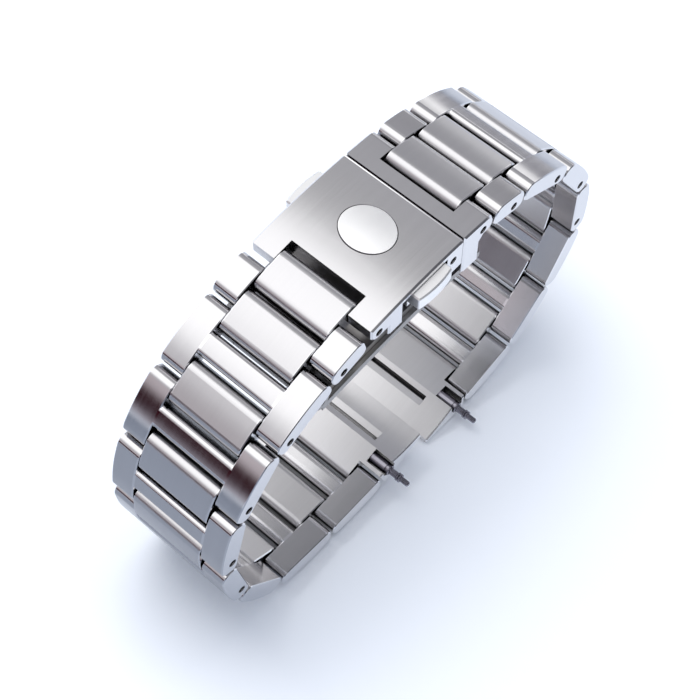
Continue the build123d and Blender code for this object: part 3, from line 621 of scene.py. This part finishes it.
class BRACELET_OT_spring_bars(bpy.types.Operator):
    """Makes the turned spring bars: the crimped tube and the two tips with grooved collars"""
    bl_idname = "bracelet.spring_bars"
    bl_label = "Spring bars"

    def execute(self, context):
        finish = context.scene.bracelet_finish
        # Painted shade: a much darker steel colour for the bars in their pockets
        steel = turned_steel("shaded_spring_bar", finish.bar_and_shade_color, BAR_ROUGHNESS)
        for node in band_nodes("spring_bar_tube"):
            low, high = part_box(node)
            work = bmesh.new()
            turned(work, (low + high) / 2, self.tube_outline(low, high), hollow=True)
            new_piece("turned_" + node, work, steel, node)
        for node in band_nodes("spring_bar_near_tip", "spring_bar_far_tip"):
            low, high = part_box(node)
            way = -1 if "near" in node else 1
            work = bmesh.new()
            turned(work, (low + high) / 2, self.tip_outline(low, high, way))
            new_piece("turned_" + node, work, steel, node)
        return {"FINISHED"}

    def tube_outline(self, low, high):
        half = (high.y - low.y) / 2 / MM
        radius = (high.x - low.x) / 2 / MM
        crimp = half - CRIMP_IN
        end = [(crimp - CRIMP_WIDTH / 2, radius), (crimp, radius - CRIMP_DEPTH),
               (crimp + CRIMP_WIDTH / 2, radius), (half - TUBE_EDGE, radius),
               (half, radius - TUBE_EDGE)]
        start = [(-along, r) for along, r in reversed(end)]
        bore = radius - TUBE_WALL
        return start + end + [(half, bore), (-half, bore)]

    def tip_outline(self, low, high, way):
        """From the point inwards: point, collar with a groove round it, shaft."""
        half = (high.y - low.y) / 2 / MM
        collar = (high.x - low.x) / 2 / MM
        collar_at = half - POINT_LENGTH
        groove_at = collar_at - COLLAR_LENGTH / 2
        shaft_at = collar_at - COLLAR_LENGTH
        outline = [
            (half, POINT_RADIUS - POINT_EDGE), (half - POINT_EDGE, POINT_RADIUS),
            (collar_at, POINT_RADIUS), (collar_at, collar - COLLAR_EDGE),
            (collar_at - COLLAR_EDGE, collar), (groove_at + COLLAR_EDGE, collar),
            (groove_at, collar - COLLAR_GROOVE_DEPTH), (groove_at - COLLAR_EDGE, collar),
            (shaft_at + COLLAR_EDGE, collar), (shaft_at, collar - COLLAR_EDGE),
            (shaft_at, SHAFT_RADIUS), (-half, SHAFT_RADIUS)]
        return [(way * along, radius) for along, radius in outline]


class BRACELET_OT_springs(bpy.types.Operator):
    """Winds the coil springs of the buttons and the spring bars, at rest length"""
    bl_idname = "bracelet.springs"
    bl_label = "Springs"

    def execute(self, context):
        finish = context.scene.bracelet_finish
        steel = turned_steel("spring_wire", finish.polished_color, WIRE_ROUGHNESS)
        node = "clasp_button_springs"
        middle_y = MIDDLE_Y * MM
        for low, high in solids(node):
            way = 1 if low.y > middle_y else -1
            side = "far" if way > 0 else "near"
            rib = low.y if way > 0 else high.y
            self.spring(f"coil_{side}_button", node, f"{side}_button_press", low, high, rib, way,
                        BUTTON_SPRING_REACH, BUTTON_SPRING_WIRE, BUTTON_SPRING_TURNS, steel)
        for node in band_nodes("spring_bar_spring"):
            low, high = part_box(node)
            bar = node.removesuffix("_spring")
            for side, way in (("near", -1), ("far", 1)):
                self.spring(f"coil_{bar}_{side}", node, f"{bar}_{side}_tip_press", low, high,
                            (low.y + high.y) / 2, way, TIP_TRAVEL, BAR_SPRING_WIRE,
                            BAR_SPRING_TURNS, steel)
        return {"FINISHED"}

    def spring(self, name, node, joint, low, high, fixed_y, way, reach, wire, turns, steel):
        """A coil from its fixed end outwards, at its length at rest. The CAD solid is its shortest
        length; the joint is not used."""
        middle = (low + high) / 2
        middle.y = fixed_y
        shortest = abs((high.y if way > 0 else low.y) - fixed_y) / MM
        longest = shortest + reach
        work = bmesh.new()
        coil(work, middle, way * wire / 2, way * (longest - wire / 2),
             (high.x - low.x) / 2 / MM, wire, turns)
        piece = new_piece(name, work, steel, node)
        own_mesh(piece)


class BRACELET_OT_stage(bpy.types.Operator):
    """Makes the floor, the studio light and the camera"""
    bl_idname = "bracelet.stage"
    bl_label = "Stage"

    def execute(self, context):
        self.floor()
        self.world(context.scene)
        self.lamp()
        self.camera(context.scene)
        context.scene.view_settings.view_transform = "Standard"
        return {"FINISHED"}

    def floor(self):
        """A pale paper floor. Seen directly it glows, fading to white away from the object, which
        shades it close by with a painted shadow. The steel mirrors it lighter under the middle,
        with a painted glow, and darker on the left, with a painted shade."""
        work = bmesh.new()
        bmesh.ops.create_grid(work, x_segments=8, y_segments=8, size=FLOOR_HALF * MM)
        mesh = bpy.data.meshes.new("floor")
        work.to_mesh(mesh)
        work.free()
        paper = bpy.data.objects.new("floor", mesh)
        bpy.context.scene.collection.objects.link(paper)
        material, tree, output = new_material("pale_paper")
        position = add(tree, "TexCoord").outputs["Object"]
        away = add(tree, "VectorMath", {"operation": "LENGTH"}, {0: position})
        ray = add(tree, "LightPath")
        direct = add(tree, "MapRange", {"interpolation_type": "SMOOTHSTEP"}, {
            "Value": away.outputs["Value"],
            "From Min": GLOW_REACH[0] * MM, "From Max": GLOW_REACH[1] * MM,
            "To Min": GLOW_STRENGTH[0], "To Max": GLOW_STRENGTH[1]})
        beside = add(tree, "AmbientOcclusion", {"samples": SHADE_SAMPLES}, {
            "Distance": SHADE_REACH * MM})
        shaded = add(tree, "Math", {"operation": "MULTIPLY"}, {0: direct, 1: beside.outputs["AO"]})
        seen = add(tree, "Math", {"operation": "MULTIPLY"}, {
            0: shaded, 1: ray.outputs["Is Camera Ray"]})
        along = add(tree, "SeparateXYZ", None, {0: position})
        # Painted glow: the steel mirrors the floor lighter towards the right
        right = add(tree, "MapRange", {"interpolation_type": "SMOOTHSTEP"}, {
            "Value": along, "From Min": MIRRORED_REACH[0] * MM,
            "From Max": MIRRORED_REACH[1] * MM, "To Max": MIRRORED_GLOW})
        far_right = add(tree, "MapRange", {"interpolation_type": "SMOOTHSTEP"}, {
            "Value": along, "From Min": FAR_RIGHT_REACH[0] * MM,
            "From Max": FAR_RIGHT_REACH[1] * MM, "To Min": 1.0, "To Max": FAR_RIGHT_SHARE})
        lighter = add(tree, "Math", {"operation": "MULTIPLY"}, {0: right, 1: far_right})
        mirrored = add(tree, "Math", {"operation": "MULTIPLY_ADD"}, {
            0: ray.outputs["Is Glossy Ray"], 1: lighter, 2: seen})
        # Painted shade: the steel mirrors the floor darker on the left
        left = add(tree, "MapRange", {"interpolation_type": "SMOOTHSTEP"}, {
            "Value": along, "From Min": MIRRORED_SHADE_REACH[0] * MM, "From Max": MIRRORED_SHADE_REACH[1] * MM,
            "To Max": MIRRORED_SHADE_SHARE})
        mirrored_shade = add(tree, "Math", {"operation": "MULTIPLY"}, {
            0: ray.outputs["Is Glossy Ray"], 1: left})
        fiber = add(tree, "TexNoise", None, {
            "Vector": position, "Scale": 1 / (PAPER_FIBER * MM), "Detail": 4.0})
        tone = add(tree, "Mix", {"data_type": "RGBA"}, {
            0: fiber, 6: linear(PAPER_COLORS[0]), 7: linear(PAPER_COLORS[1])})
        seen_tone = add(tree, "Mix", {"data_type": "RGBA"}, {
            0: mirrored_shade, 6: tone.outputs[2], 7: linear(MIRRORED_SHADE_COLOR)})
        diffuse = add(tree, "BsdfDiffuse", None, {"Color": seen_tone.outputs[2]})
        light = add(tree, "Emission", None, {"Color": linear(GLOW_COLOR), "Strength": mirrored})
        both = add(tree, "AddShader", None, {0: diffuse, 1: light})
        tree.links.new(both.outputs[0], output.inputs["Surface"])
        mesh.materials.append(material)

    def world(self, scene):
        """A studio with a white ceiling, grey to the right, and a banded wall on the left.
        The steel mirrors it, while the floor gets a plain dim light of the same kind."""
        world = bpy.data.worlds.new("studio")
        scene.world = world
        world.use_nodes = True
        tree = world.node_tree
        tree.nodes.clear()
        output = add(tree, "OutputWorld")
        parts = add(tree, "SeparateXYZ", None, {0: add(tree, "TexCoord").outputs["Generated"]})
        ceiling = self.ramp(tree, parts.outputs["X"], CEILING)
        wall = self.ramp(tree, parts.outputs["Z"], WALL)
        left = add(tree, "MapRange", {"interpolation_type": "SMOOTHSTEP"}, {
            "Value": parts.outputs["X"], "From Min": WALL_FROM[0], "From Max": WALL_FROM[1]})
        sides = add(tree, "Mix", {"data_type": "RGBA"}, {0: left, 6: ceiling, 7: wall})
        front = add(tree, "MapRange", {"interpolation_type": "SMOOTHSTEP"}, {
            "Value": parts.outputs["Y"], "From Min": FRONT_FROM[0], "From Max": FRONT_FROM[1],
            "To Max": FRONT_SHARE})
        room = add(tree, "Mix", {"data_type": "RGBA"}, {
            0: front, 6: sides.outputs[2], 7: linear(FRONT_COLOR)})
        ray = add(tree, "LightPath")
        mirrored = add(tree, "Background", None, {
            "Color": room.outputs[2], "Strength": MIRRORED_STRENGTH})
        dim = add(tree, "Background", None, {
            "Color": linear(DIM_COLOR), "Strength": DIM_STRENGTH})
        white = add(tree, "Background", None, {"Color": linear("#ffffff"), "Strength": 1.0})
        unseen = add(tree, "MixShader", None, {
            0: ray.outputs["Is Glossy Ray"], 1: dim, 2: mirrored})
        both = add(tree, "MixShader", None, {0: ray.outputs["Is Camera Ray"], 1: unseen, 2: white})
        tree.links.new(both.outputs[0], output.inputs["Surface"])

    def ramp(self, tree, value, stops):
        """A colour for each value from -1 to 1, blended between the stops."""
        share = add(tree, "MapRange", None, {"Value": value, "From Min": -1.0, "From Max": 1.0})
        ramp = add(tree, "ValToRGB", None, {0: share})
        elements = ramp.color_ramp.elements
        while len(elements) < len(stops):
            elements.new(1.0)
        for element, (at, color) in zip(elements, stops):
            element.position = (at + 1) / 2
            element.color = linear(color)
        return ramp

    def lamp(self):
        """One large soft box high up behind the object, which the steel doesn't mirror: it
        only draws the soft shadow."""
        light = bpy.data.lights.new("soft_box", "AREA")
        light.shape = "RECTANGLE"
        light.size = LAMP_SIDE * MM
        light.size_y = LAMP_SIDE * MM
        light.energy = LAMP_POWER
        lamp = bpy.data.objects.new("soft_box", light)
        bpy.context.scene.collection.objects.link(lamp)
        lamp.visible_glossy = False
        lamp.location = Vector(LAMP_AT) * MM
        lamp.rotation_mode = "QUATERNION"
        lamp.rotation_quaternion = lamp.location.to_track_quat("Z", "Y")

    def camera(self, scene):
        data = bpy.data.cameras.new("camera")
        data.sensor_width = SENSOR_WIDTH
        data.lens = CAMERA_FOCAL / PHOTO_SIDE * SENSOR_WIDTH
        data.clip_start = CLIP_NEAR * MM
        data.clip_end = CLIP_FAR * MM
        camera = bpy.data.objects.new("camera", data)
        scene.collection.objects.link(camera)
        middle = Vector((0, MIDDLE_Y, 0))
        at, target = [(Vector(place) + middle) * MM for place in (CAMERA_AT, CAMERA_TARGET)]
        roll = Quaternion((0, 0, 1), math.radians(CAMERA_ROLL))
        camera.location = at
        camera.rotation_mode = "QUATERNION"
        camera.rotation_quaternion = (target - at).to_track_quat("-Z", "Y") @ roll
        scene.camera = camera


class BRACELET_PT_panel(bpy.types.Panel):
    bl_idname = "BRACELET_PT_panel"
    bl_label = "Link bracelet"
    bl_space_type = "VIEW_3D"
    bl_region_type = "UI"
    bl_category = "Bracelet"

    def draw(self, context):
        for operator in OPERATORS:
            self.layout.operator(operator.bl_idname)
        finish = context.scene.bracelet_finish
        for name in BraceletFinish.__annotations__:
            self.layout.prop(finish, name)


OPERATORS = (BRACELET_OT_band, BRACELET_OT_clasp, BRACELET_OT_pins, BRACELET_OT_spring_bars,
             BRACELET_OT_springs, BRACELET_OT_stage)
CLASSES = (BraceletFinish,) + OPERATORS + (BRACELET_PT_panel,)


def register():
    for item in CLASSES:
        bpy.utils.register_class(item)
    bpy.types.Scene.bracelet_finish = bpy.props.PointerProperty(type=BraceletFinish)


def unregister():
    del bpy.types.Scene.bracelet_finish
    for item in reversed(CLASSES):
        bpy.utils.unregister_class(item)


def main():
    register()
    bpy.ops.bracelet.band()
    bpy.ops.bracelet.clasp()
    bpy.ops.bracelet.pins()
    bpy.ops.bracelet.spring_bars()
    bpy.ops.bracelet.springs()
    bpy.ops.bracelet.stage()


if __name__ == "__main__":
    main()
